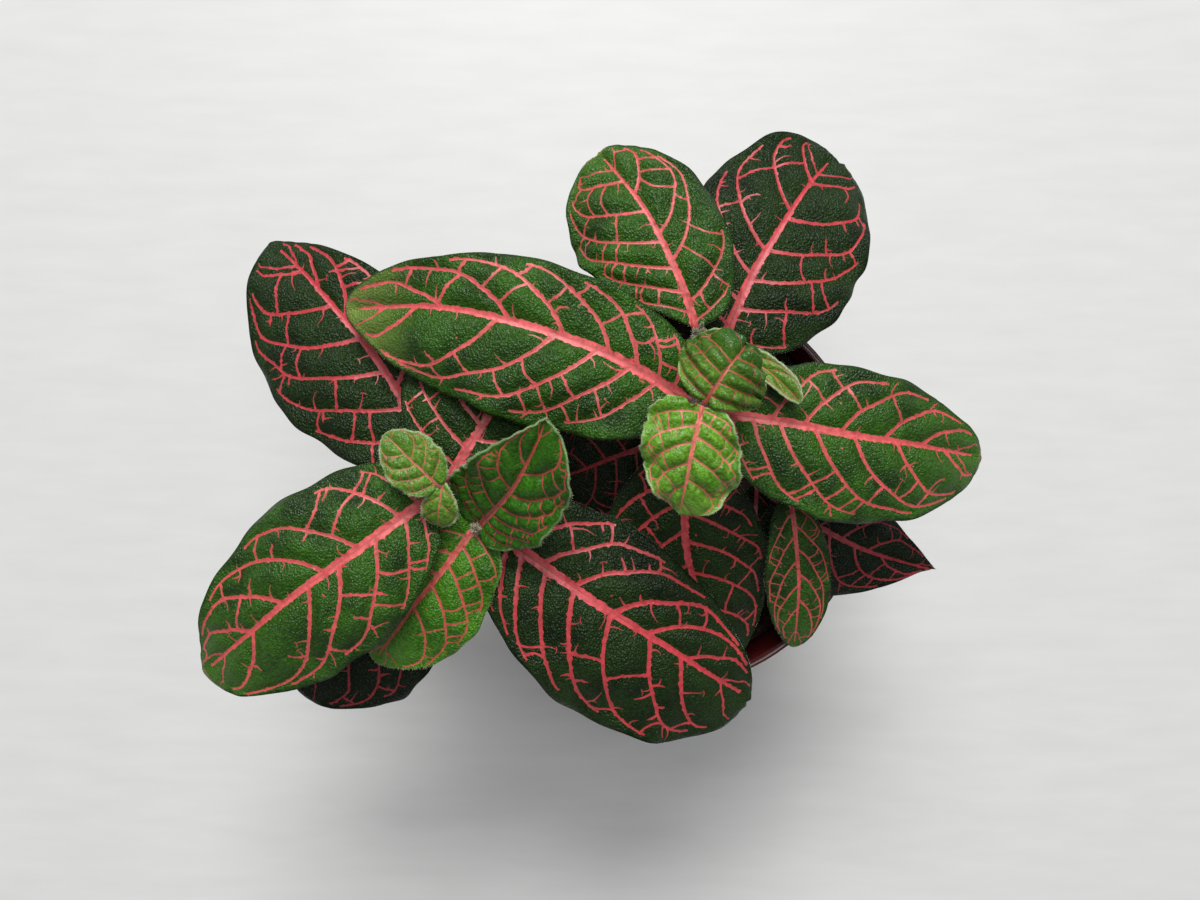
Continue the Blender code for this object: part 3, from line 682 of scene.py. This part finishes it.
def vein_net(leaf, rng):
    """Veins of the flat blade as (line, half widths, rank), from the midrib to the last twigs."""
    length, left_half, right_half = leaf["size"][1:]
    closed = leaf["look"][1]
    big = scale_of(leaf)
    step = 0.5 * COARSE * max(big, 0.55)
    veins = []

    def lay(line, half, rank):
        half = np.interp(np.linspace(0, 1, len(line)), np.linspace(0, 1, len(half)), half)
        veins.append((line, half, rank))

    def room(line, joined, gap):
        """Whether a new vein keeps clear of the others but where it is joined to them."""
        away = np.linalg.norm(line - line[0], axis=1) > gap * 1.3
        if joined:
            away &= np.linalg.norm(line - line[-1], axis=1) > gap * 1.3
        if not away.any():
            return False
        every = np.vstack([v[0] for v in veins])
        far = np.linalg.norm(line[away][:, None] - every[None], axis=2).min()
        edge = half_width(leaf, line[:, 0] / length, np.sign(line[:, 1]))
        return far > gap and (np.abs(line[:, 1]) < NET_EDGE * edge).all()

    s = np.linspace(-0.012, 0.955, 80)
    sway = 0.16 * np.sin(s * 13 + rng.uniform(0, 6)) * big * (1 - (2 * s - 1) ** 2)
    main = resample(np.stack([s * length, sway], -1), step)
    share = np.clip(main[:, 0] / length, 0, 1)
    lay(main, big * (0.15 + 0.95 * (1 - share) ** 0.9), 0)

    halves = []
    for side, roots, sweep in zip((1, -1), leaf["roots"], leaf["sweep"]):
        limbs = []
        for root in list(roots) + [0.87]:
            small = root > 0.85
            late = np.interp(root, [0.5, 0.87], [0, 1])
            forward = min(1.1 * sweep * (root + 0.03), 0.76) * (1 - root)
            end = root + forward + rng.uniform(-0.01, 0.01)
            q = np.linspace(0, 1, 60)
            along = root + (end - root) * ((0.5 + 0.9 * late) * q + (0.5 - 0.9 * late) * q ** 2)
            top = rng.uniform(0.88, 0.93) * (1 - 0.2 * late) * (1 - (1 - q) ** (1.6 - 0.45 * late))
            line = np.stack([along * length, top * half_width(leaf, along, side)], -1)
            line[:, 1] += np.interp(root, share, main[:, 1]) * side * (1 - q)
            line[:, 1] += big * 0.22 * np.sin(q * rng.uniform(8, 14)) * np.sin(np.pi * q)
            line[:, 1] *= side
            line = resample(line, step)
            run = np.linspace(0, 1, len(line))
            stout = big * rng.uniform(0.35, 0.41) * (0.6 if small else 0.8 if root < 0.1 else 1)
            lay(line, stout * (1 - 0.48 * run ** 0.8) + 0.26 * stout * np.exp(-run * 20), 1 + small)
            limbs.append(line)
        halves.append(limbs)

    for side, limbs in zip((1, -1), halves):
        for k, line in enumerate(limbs):
            # Cross links close the cells between one side vein and the next.
            ahead = limbs[min(k + 1, len(limbs) - 1)]
            spans = np.linalg.norm(ahead[None] - line[:, None], axis=2)
            places = [0.97] if k + 1 < len(limbs) else []
            place = 0.90 - rng.uniform(0, 0.06)
            while place > 0.38 and k + 2 < len(limbs):
                places.append(place)
                place -= rng.uniform(4.2, 6.8) * big / max(len(line) * step, 1)
            for n, place in enumerate(places):
                i = int(place * (len(line) - 1))
                near = min(int(np.argmin(spans[i])) + int(rng.integers(0, 3)), len(ahead) - 1)
                whole = n == 0 or rng.random() < closed * (0.5 + 0.6 * place)
                a, b = line[i], ahead[near]
                if not 1.0 * big < np.linalg.norm(b - a) < 13 * big:
                    continue
                if not whole:
                    if rng.random() < 0.5:
                        a, b = b, a
                    b = a + (b - a) * rng.uniform(0.25, 0.55)
                made = link(a, b, rng.uniform(-0.14, 0.14), rng, step * 0.8)
                if room(made, whole, 0.9 * big):
                    thin = big * rng.uniform(0.17, 0.22)
                    lay(made, [thin * 1.25, thin, thin * (1.2 if whole else 0.45)], 2)
            # Twigs run out towards the margin.
            place = rng.uniform(0.3, 0.42) if k else 0.12
            while place < 1.0:
                a = line[int(place * (len(line) - 1))]
                out = a[0] + rng.uniform(0.6, 2.4) * big
                edge = half_width(leaf, min(out / length, 0.99), side)
                b = np.array([out, side * edge * rng.uniform(0.90, 0.95)])
                if 0.8 * big < np.linalg.norm(b - a) < 6.5 * big:
                    made = link(a, b, rng.uniform(-0.1, 0.1), rng, step * 0.8)
                    if room(made, False, 0.9 * big):
                        lay(made, big * np.array([0.19, 0.13, 0.08]), 2)
                place += rng.uniform(3.6, 7.0) * big / max(len(line) * step, 1)
    # Blind spurs stick out into the cells, and a few specks lie loose in them.
    for line, half, rank in list(veins):
        if rank > 1 and rng.random() < 0.75:
            continue
        place = rng.uniform(1.5, 3.0) * big / max(len(line) * step, 1)
        while place < 0.95:
            k = int(place * (len(line) - 2))
            along = (line[k + 1] - line[k]) / max(np.linalg.norm(line[k + 1] - line[k]), 1e-6)
            out = np.array([-along[1], along[0]]) * rng.choice((-1, 1))
            out = out + along * rng.uniform(-0.2, 0.6)
            a = line[k]
            b = a + out * (rng.uniform(0.9, 2.3) if rng.random() < 0.7 else rng.uniform(2, 4)) * big
            made = link(a, b, rng.uniform(-0.2, 0.2), rng, step * 0.6)
            if room(made, False, 0.7 * big):
                lay(made, big * np.array([0.22, 0.12, 0.05]), 3)
                if rng.random() < 0.12:
                    c = b + np.array([-out[1], out[0]]) * rng.choice((-1, 1)) * 0.8 * big
                    lay(link(b - (c - b) * 0.5, c, 0.1, rng, step * 0.5), [0.08 * big] * 2, 3)
            place += rng.uniform(4.0, 10.0) * big / max(len(line) * step, 1)
    for _ in range(6):
        a = np.array([rng.uniform(0.2, 0.9) * length,
                      rng.uniform(-0.8, 0.8) * min(left_half, right_half)])
        made = np.linspace(a, a + rng.normal(size=2) * 0.4 * big, 3)
        if room(np.vstack([made[0] - 9, made]), False, 1.2 * big):
            lay(made, big * np.array([0.12, 0.2, 0.12]), 3)
    return veins, big, step


def outline(leaf, step):
    """The blade's margin in the flat, anticlockwise from the base."""
    length = leaf["size"][1]
    s = 0.5 - 0.5 * np.cos(np.pi * np.linspace(0, 1, 240))
    right = np.stack([s * length, -half_width(leaf, s, -1)], -1)
    left = np.stack([s * length, half_width(leaf, s, 1)], -1)[::-1]
    return np.vstack([resample(right, step), resample(left, step)[1:-1]])


def net_blade(leaf, rng):
    """The flat blade cut into faces along its veins, then laid on the living leaf."""
    veins, big, step = vein_net(leaf, rng)
    margin = outline(leaf, 0.8 * COARSE * max(big, 0.5))
    points = [margin]
    outlines = [list(range(len(margin)))]
    edges = []
    total = len(margin)
    samples, reach, ranks = [], [], []
    for line, half, rank in veins:
        along = np.gradient(line, axis=0)
        along /= np.maximum(np.linalg.norm(along, axis=1)[:, None], 1e-9)
        normal = np.stack([-along[:, 1], along[:, 0]], -1)
        edge = []
        for way in (-1, 1):
            jag = 1 + rng.normal(size=len(line)) * 0.09
            if rank < 3:
                barbed = rng.random(len(line)) < 0.22
                jag += barbed * rng.uniform(0.05, 0.26, len(line)) * big / half
            edge.append(line + normal * (half * jag * way)[:, None])
        ring = np.vstack([edge[0], edge[1][::-1]])
        points.append(ring)
        outlines.append(list(range(total, total + len(ring))))
        total += len(ring)
        if rank < 2:
            points.append(line[1:-1])
            edges += [(total + k, total + k + 1) for k in range(len(line) - 3)]
            total += len(line) - 2
        samples.append(line)
        reach.append(half)
        ranks.append(np.full(len(line), rank))
    length = leaf["size"][1]
    mesh_step = COARSE * (0.95 if big > 0.8 else 0.7 if big > 0.5 else 0.45)
    u, v = np.meshgrid(np.arange(mesh_step, length, mesh_step),
                       np.arange(-30, 30, mesh_step * 0.87))
    u = u + mesh_step / 2 * (np.arange(len(v)) % 2)[:, None]
    u, v = u.ravel(), v.ravel()
    u = u + rng.normal(size=len(u)) * 0.08 * mesh_step
    inside = np.abs(v) < half_width(leaf, u / length, np.sign(v)) - 0.45 * mesh_step
    points.append(np.stack([u, v], -1)[inside])
    flat = [Vector(p) for p in np.vstack(points)]
    cut, _, faces, _, _, owners = delaunay_2d_cdt(flat, edges, outlines, 0, 1e-4, True)
    cut = np.array(cut)
    kept = [(f, len(o) > 1) for f, o in zip(faces, owners) if 0 in o]

    tree = kdtree.KDTree(sum(map(len, samples)))
    limbs = kdtree.KDTree(sum(len(x) for x, r in zip(samples, ranks) if r[0] < 2))
    reach_all, reach_limb = [], []
    for line, half, rank in zip(samples, reach, ranks):
        for point, wide in zip(line, half):
            tree.insert((*point, 0), len(reach_all))
            reach_all.append(wide)
            if rank[0] < 2:
                limbs.insert((*point, 0), len(reach_limb))
                reach_limb.append(wide)
    tree.balance()
    limbs.balance()
    gap, gap_limb, heart, stout = (np.zeros(len(cut)) for _ in range(4))
    for k, (x, y) in enumerate(cut):
        _, i, far = tree.find((x, y, 0))
        gap[k] = max(far - reach_all[i], 0)
        stout[k] = np.clip(reach_all[i] / big, 0, 1)
        _, i, far = limbs.find((x, y, 0))
        gap_limb[k] = max(far - reach_limb[i], 0)
        heart[k] = np.clip(1 - far / reach_limb[i], 0, 1)

    u, v = cut[:, 0], cut[:, 1]
    surface, normal = blade_frame(leaf, u, v)
    puff = leaf["look"][2] * (0.75 + 0.5 * big)
    edge = half_width(leaf, u / length, np.sign(v))
    rim = np.maximum(edge - np.abs(v), 0)
    ease = np.clip(rim / 1.5, 0, 1)
    bulge = puff * (1 - np.exp(-(gap_limb / (1.9 * big)) ** 2)) * (0.35 + 0.65 * ease)
    bulge += puff * 0.45 * (1 - np.exp(-(gap / (0.7 * big)) ** 2))
    bulge -= 0.10 * big * heart
    points = surface + normal * bulge[:, None]
    return points, kept, dict(along=u / length, across=np.abs(v) / np.maximum(edge, 0.3),
                              rim=rim, gap=gap, heart=heart, stout=stout)


# Leaf tissue: a thin waxy skin over wet green cells, beaded all over with blunt papillae, so it
# shines in many fine points. Old leaves are nearly black-green, young ones bright and pale-edged.
# Two tones are painted shade: darker copies for leaves that lie in the shade of others.
#   tone: base green, green beside the midrib, margin, tip, vein, midrib heart, underside, and
#   how far along the blade the tip's colour starts
TONES = {
    "old": ("101e08", "1c330c", "0f1c08", "1a300c", "c83e46", "94483f", "55703f", 0.72),
    "mid": ("1b350b", "315c10", "203c0e", "3f6a1a", "da5658", "a4524a", "637f48", 0.72),
    "mid_tip": ("1b350b", "315c10", "203c0e", "7c9340", "e46062", "a4524a", "637f48", 0.76),
    # Painted shade: the mid tone darkened for a leaf that lies in the shadow of a bigger leaf above
    # it.
    "mid_in_shade": ("102007", "1f3d09", "132607", "26430f", "cc4e52", "9a4a42", "5c7642", 0.72),
    "bright": ("2e5c0e", "447a16", "6c9440", "508226", "cc5650", "a8503f", "6f8c50", 0.72),
    "young": ("4a7e1a", "66962c", "a9bd86", "6f9c38", "dc7066", "b8604e", "7f9a5c", 0.72),
    "young_dark": ("21440c", "336812", "86a06a", "2f5c12", "b84a42", "94403a", "6f8c50", 0.72),
    "young_dome": ("44681c", "618a2c", "a0b276", "224e14", "ae4c40", "8c4034", "6f8c50", 0.1),
    "young_grey": ("446a1a", "608a2c", "a4b586", "5c8030", "c06a58", "a05c4a", "7c9060", 0.72),
    # Painted shade: the old tone darkened further, with veins, underside and stalk, for the low leaves
    # that lie under the others.
    "shaded": ("0a1505", "101f07", "0c1806", "101e07", "a02c38", "70302c", "34462a", 0.72),
}


MULTIPLY = {"data_type": "RGBA", "blend_type": "MULTIPLY", 0: 1.0}
BUFF = "8c7c50"


def blade_values(tree, *names):
    """Values that net_blade leaves on the points of a blade, for its materials to read."""
    return [add_node(tree, "Attribute", {"attribute_name": name}).outputs["Fac"]
            for name in names]


def coat(tree, shown, where, start, end, most, over):
    """Covers what is shown with a hex colour, by nothing where the value is start, most at end."""
    share = add_node(tree, "MapRange", {"From Min": start, "From Max": end, "To Max": most},
                     {0: where})
    return add_node(tree, "Mix", {"data_type": "RGBA", 7: colour(over)},
                    {0: share.outputs[0], 6: shown}).outputs[2]


def tinted(hex_code, share, lift=0.0):
    """A hex colour made darker or lighter."""
    return [min(c * share + lift, 1) for c in colour(hex_code)[:3]] + [1]


def waxy_skin(tone):
    """Upper skin of one tone of leaf."""
    base, glow, margin, tip, *_, turning = TONES[tone]
    shine = 0.24 if tone in ("old", "shaded", "mid_in_shade") else 0.34
    skin, tree, shader = new_material("leaf_skin_" + tone, IOR=1.45, Specular_IOR_Level=shine)
    place = add_node(tree, "TexCoord").outputs["Object"]
    along, across, rim, gap = blade_values(tree, "along", "across", "rim", "gap")
    # Blotches are 8 mm across. Papillae are 0.45 mm, because finer ones wouldn't show.
    blotch = add_node(tree, "TexNoise", {"Scale": 125.0, "Detail": 3.0}, {"Vector": place})
    beads = add_node(tree, "TexVoronoi", {"Scale": 2200.0}, {"Vector": place})
    shiver = add_node(tree, "TexNoise", {"Scale": 1500.0, "Detail": 4.0}, {"Vector": place})
    ground = add_node(tree, "ValToRGB", links={0: blotch.outputs[0]}, stops=[
        (0.36, colour(base)), (0.66, colour(glow))])
    grain = add_node(tree, "MapRange", {"From Min": 0.3, "From Max": 0.7, "To Min": 0.6,
                                        "To Max": 1.45}, {0: shiver.outputs[0]})
    lit = coat(tree, ground.outputs[0], across, 0.5, 0.05, 0.75, glow)
    # A yellower seam runs along every vein.
    seamed = coat(tree, lit, gap, 0.55, 0.0, 0.45, glow)
    fine = add_node(tree, "Mix", MULTIPLY, {6: seamed, 7: grain.outputs[0]})
    tipped = coat(tree, fine.outputs[2], along, turning, 1.0, 0.9, tip)
    edged = coat(tree, tipped, rim, 0.55, 0.1, 0.85, margin)
    # The last millimetre of a full-grown leaf dries out to a buff brown.
    dry = 0.85 if tone.startswith("mid") else 0.0
    feed(tree, shader, "Base Color", coat(tree, edged, along, 0.978, 0.99, dry, BUFF))
    gloss = add_node(tree, "MapRange", {"From Min": 0.3, "From Max": 0.7, "To Min": 0.16,
                                        "To Max": 0.46}, {0: shiver.outputs[0]})
    feed(tree, shader, "Roughness", gloss.outputs[0])
    relief = 0.45 if tone.startswith("young") else 0.9
    beaded = add_node(tree, "Bump", {"Strength": relief, "Distance": 0.00026},
                      {"Height": beads.outputs["Distance"]})
    uneven = add_node(tree, "Bump", {"Strength": 0.75 * relief, "Distance": 0.0003},
                      {"Height": shiver.outputs[0], "Normal": beaded.outputs[0]})
    feed(tree, shader, "Normal", uneven.outputs[0])
    return skin


def vein_skin(name, outer, inner):
    """Vein skin: outer is its own colour, inner that of its heart near the foot of the leaf."""
    skin, tree, shader = new_material(name, IOR=1.45, Roughness=0.42, Sheen_Weight=0.15)
    place = add_node(tree, "TexCoord").outputs["Object"]
    along, heart, stout = blade_values(tree, "along", "heart", "stout")
    pulse = add_node(tree, "TexNoise", {"Scale": 900.0, "Detail": 3.0}, {"Vector": place})
    body = add_node(tree, "ValToRGB", links={0: stout}, stops=[
        (0.05, tinted(outer, 0.68)), (0.22, tinted(outer, 0.9)), (0.45, colour(outer)),
        (0.8, tinted(outer, 1.15, 0.03))])
    beat = add_node(tree, "MapRange", {"From Min": 0.3, "From Max": 0.7, "To Min": 0.75,
                                       "To Max": 1.2}, {0: pulse.outputs[0]})
    worn = add_node(tree, "Mix", MULTIPLY, {6: body.outputs[0], 7: beat.outputs[0]})
    foot = add_node(tree, "MapRange", {"From Min": 0.65, "From Max": 0.0, "To Max": 0.8},
                    {0: along})
    core = add_node(tree, "MapRange", {"From Min": 0.35, "From Max": 0.95}, {0: heart})
    both = add_node(tree, "Math", {"operation": "MULTIPLY"},
                    {0: foot.outputs[0], 1: core.outputs[0]})
    mixed = add_node(tree, "Mix", {"data_type": "RGBA", 7: colour(inner)},
                     {0: both.outputs[0], 6: worn.outputs[2]})
    feed(tree, shader, "Base Color", mixed.outputs[2])
    ribbed = add_node(tree, "Bump", {"Strength": 0.4, "Distance": 0.0002},
                      {"Height": pulse.outputs[0]})
    feed(tree, shader, "Normal", ribbed.outputs[0])
    return skin


def plain_skin(name, dark, light, scale, detail, relief, **sockets):
    """A skin in two shades, for undersides and stalks; the scale is in grains per metre."""
    skin, tree, shader = new_material(name, IOR=1.4, **sockets)
    place = add_node(tree, "TexCoord").outputs["Object"]
    grain = add_node(tree, "TexNoise", {"Scale": scale, "Detail": detail}, {"Vector": place})
    shades = add_node(tree, "ValToRGB", links={0: grain.outputs[0]}, stops=[
        (0.3, dark), (0.7, light)])
    raised = add_node(tree, "Bump", {"Strength": relief, "Distance": 0.0002},
                      {"Height": grain.outputs[0]})
    feed(tree, shader, "Base Color", shades.outputs[0])
    feed(tree, shader, "Normal", raised.outputs[0])
    return skin


def leaf_finishes(tone):
    """Upper skin, upper vein, under skin, under vein and stalk of one tone of leaf."""
    vein, heart, under = TONES[tone][4:7]
    # The underside is felted and pale; the stalk and keel are rosy, and darker and browner in the
    # painted-shade tones.
    felt = plain_skin("leaf_underside_" + tone, tinted(under, 0.7), colour(under), 500.0, 4.0,
                      0.5, Roughness=0.6, Sheen_Weight=0.25)
    rosy = plain_skin("rosy_stalk_" + tone, colour(heart), colour(vein), 420.0, 3.0,
                      0.4, Roughness=0.45, Sheen_Weight=0.2)
    return [waxy_skin(tone), vein_skin("leaf_vein_" + tone, vein, heart), felt,
            vein_skin("under_vein_" + tone, heart, heart), rosy]


finishes = {}
for name, leaf in LEAVES.items():
    tone = leaf["look"][0]
    rng = np.random.default_rng(100 + leaf["look"][3])
    if tone not in finishes:
        finishes[tone] = leaf_finishes(tone)
    points, kept, fields = net_blade(leaf, rng)
    blade = add_mesh(f"leaf_{name}_blade", points, [f for f, _ in kept], finishes[tone][:4],
                     [int(vein) for _, vein in kept])
    for field, values in fields.items():
        blade.data.attributes.new(field, "FLOAT", "POINT").data.foreach_set(
            "value", values.astype(np.float32))
    thick = blade.modifiers.new("blade thickness", "SOLIDIFY")
    thick.thickness = BLADE_THICKNESS * MM
    thick.offset = -1
    thick.material_offset = 2

    stalk, length = leaf["size"][:2]
    big = scale_of(leaf)
    distance = np.linspace(0, stalk + KEEL_REACH * length, max(8, int((stalk + length) / 2.2)))
    middle, forward, left, up = midrib(leaf, distance)
    share = np.clip((distance - stalk) / (KEEL_REACH * length), 0, 1)
    radius = (0.35 + 0.55 * min(big, 1.15)) * (1 - 0.78 * share ** 0.7)
    sink = np.where(distance < stalk, 0, 1) * (radius * 0.9 + 0.1)
    sink = np.interp(distance, [0, stalk, stalk + 2.5, stalk + length], [0.15, 0.15, 1, 1]) * sink
    skin, faces = tube(middle - up * sink[:, None], radius, 12)
    keel = add_mesh(f"leaf_{name}_stalk", skin, faces, [finishes[tone][4]])

    edge = outline(leaf, 0.34 * COARSE)
    root, normal = blade_frame(leaf, edge[:, 0], edge[:, 1])
    inner, _ = blade_frame(leaf, edge[:, 0], edge[:, 1] * 0.93)
    outward = root - inner
    outward /= np.maximum(np.linalg.norm(outward, axis=1)[:, None], 1e-6)
    pale = tone.startswith("young") or tone == "bright"
    hairs, spikes = down(root - outward * 0.1 + normal * 0.1, outward + normal * 0.2,
                         0.55 if pale else 0.4, 0.1 if pale else 0.06, rng)
    fuzz = add_mesh(f"leaf_{name}_down", hairs, spikes, [white_down], smooth=False)
    for piece in (blade, keel, fuzz):
        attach(piece, "root")
    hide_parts("leaf_" + name)

# ================================================================ table, light and camera
# The plant stands on a plain, pale painted top under one broad soft light and a weaker fill.
deselect()
bpy.ops.mesh.primitive_plane_add(size=3.0)
table = bpy.context.object
table.name = "table_top"
paint, tree, shader = new_material("pale_satin_paint", Roughness=0.45)
place = add_node(tree, "TexCoord").outputs["Object"]
brushed = add_node(tree, "Mapping", {"Scale": (1, 5, 1)}, {"Vector": place})
strokes = add_node(tree, "TexNoise", {"Scale": 40.0, "Detail": 5.0}, {"Vector": brushed.outputs[0]})
painted = add_node(tree, "ValToRGB", links={0: strokes.outputs[0]}, stops=[
    (0.3, colour("d9d9d7")), (0.7, colour("dededc"))])
feed(tree, shader, "Base Color", painted.outputs[0])
table.data.materials.append(paint)


def soft_light(name, place, aim, size, power):
    lamp = bpy.data.lights.new(name, "AREA")
    lamp.shape = "RECTANGLE"
    lamp.size, lamp.size_y = size
    lamp.energy = power
    thing = bpy.data.objects.new(name, lamp)
    bpy.context.scene.collection.objects.link(thing)
    thing.location = place
    thing.rotation_euler = (Vector(aim) - Vector(place)).to_track_quat("-Z", "Y").to_euler()


soft_light("window", place=(-0.05, 1.50, 1.95), aim=(0, 0, 0.05), size=(1.2, 0.8), power=52.0)
soft_light("ceiling", place=(0.1, 0.4, 2.4), aim=(0, 0, 0), size=(1.3, 0.8), power=14.0)
world = bpy.data.worlds.new("room")
bpy.context.scene.world = world
world.use_nodes = True
room_light = world.node_tree.nodes["Background"]
room_light.inputs["Color"].default_value = colour("e8ecef")
room_light.inputs["Strength"].default_value = 0.22
bpy.context.scene.view_settings.view_transform = "Standard"

camera_data = bpy.data.cameras.new("overhead")
camera_data.lens = 35.0
camera_data.sensor_width = 36.0
camera = bpy.data.objects.new("overhead", camera_data)
camera.location = (-0.0142, 0.0079, 0.3367)
bpy.context.scene.collection.objects.link(camera)
bpy.context.scene.camera = camera
